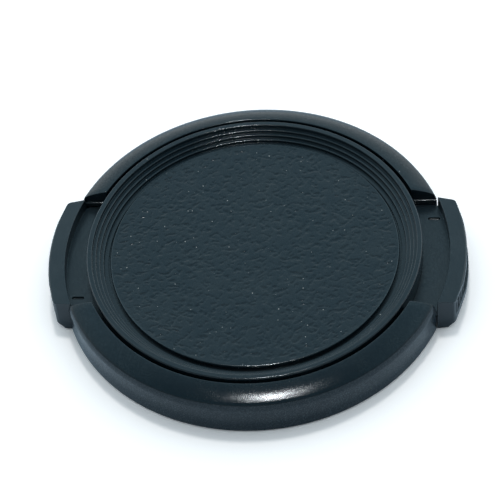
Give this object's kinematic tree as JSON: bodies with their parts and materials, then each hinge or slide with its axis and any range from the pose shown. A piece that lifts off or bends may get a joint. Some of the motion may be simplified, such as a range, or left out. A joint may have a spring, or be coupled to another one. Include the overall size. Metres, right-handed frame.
{
  "type": "camera lens cap",
  "caption": "Round push-on lens cap with a grained front panel in a stepped cover and sprung side latches whose ridged jaws hold a filter thread.",
  "frame": {"origin": "centre of the rear edge of the skirt, which the cap rests on", "axes": "+Z out of the front face, +X through the right-hand latch, +Y away from the viewer of the picture"},
  "size_m": [0.0626, 0.0578, 0.0071],
  "materials": {
    "black_plastic": "satin moulded",
    "cover_plastic": "satin moulded",
    "grained_panel": "leather grain, satin",
    "spring_steel": "bright drawn wire"
  },
  "bodies": {
    "case": {"body": "black_plastic", "front_cover": "cover_plastic", "grain_panel": "grained_panel", "spring_right_near": "spring_steel", "spring_right_far": "spring_steel", "spring_left_near": "spring_steel", "spring_left_far": "spring_steel"},
    "right_latch": {"latch_right": "black_plastic"},
    "left_latch": {"latch_left": "black_plastic"}
  },
  "joints": [
    {"name": "right_squeeze", "type": "slide", "parent": "case", "child": "right_latch", "axis": [-1, 0, 0], "range_m": [0, 0.0022], "stiffness_N_per_m": 400, "deforming": ["spring_right_near", "spring_right_far"]},
    {"name": "left_squeeze", "type": "slide", "parent": "case", "child": "left_latch", "axis": [1, 0, 0], "range_m": [-0.0006, 0.0016], "stiffness_N_per_m": 400, "deforming": ["spring_left_near", "spring_left_far"]}
  ]
}
